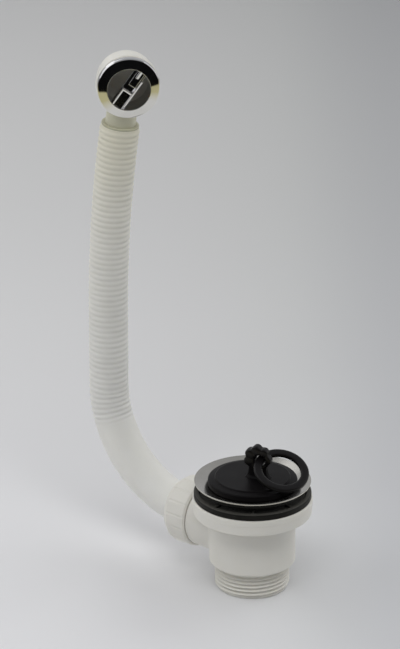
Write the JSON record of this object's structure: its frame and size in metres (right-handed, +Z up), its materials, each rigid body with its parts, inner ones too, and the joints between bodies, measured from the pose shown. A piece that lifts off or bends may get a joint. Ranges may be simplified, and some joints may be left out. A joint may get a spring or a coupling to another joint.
{
  "type": "basin waste with an overflow pipe and plug",
  "caption": "Plastic basin waste with a threaded tail, a steel strainer flange, a rubber plug on a pull ring and a corrugated overflow pipe up to a chromed overflow rose.",
  "frame": {"origin": "centre of the threaded tail's lower end", "axes": "+Z up along the waste's axis, -Y towards the side the rose faces and the picture was taken from, +X to the right in the picture"},
  "size_m": [0.126, 0.113, 0.2938],
  "materials": {
    "white_plastic": "white injection-moulded polypropylene, fine matt",
    "nut_plastic": "white injection-moulded polypropylene",
    "washer_plastic": "white polyethylene",
    "hose_plastic": "milky translucent blown polyethylene",
    "pressed_steel": "pressed and polished stainless steel",
    "screw_steel": "turned stainless steel",
    "brass": "turned brass",
    "black_rubber": "black moulded rubber",
    "plug_rubber": "black moulded rubber, slight sheen",
    "grey_rubber": "grey moulded rubber",
    "clear_rubber": "milky soft rubber",
    "pale_foam": "pale closed-cell foam",
    "chromed_plastic": "chromed injection-moulded plastic"
  },
  "bodies": {
    "waste": {"waste_body": "white_plastic", "hub_nut": "brass", "centre_screw": "screw_steel", "strainer": "pressed_steel", "strainer_seal": "black_rubber", "body_gasket": "black_rubber", "plug": "plug_rubber", "branch_nut": "nut_plastic", "branch_washer": "washer_plastic", "branch_seal": "grey_rubber", "overflow_hose": "hose_plastic", "neck_seal": "clear_rubber", "overflow_elbow": "white_plastic", "rose_seal": "pale_foam", "overflow_rose": "chromed_plastic"},
    "ring": {"pull_ring": "plug_rubber"}
  },
  "joints": [
    {"name": "ring_swing", "type": "hinge", "parent": "waste", "child": "ring", "pos_m": [0.00464, -0.00187, 0.0779], "axis": [-0.3746, -0.9272, 0], "range_deg": [0, 135]}
  ]
}
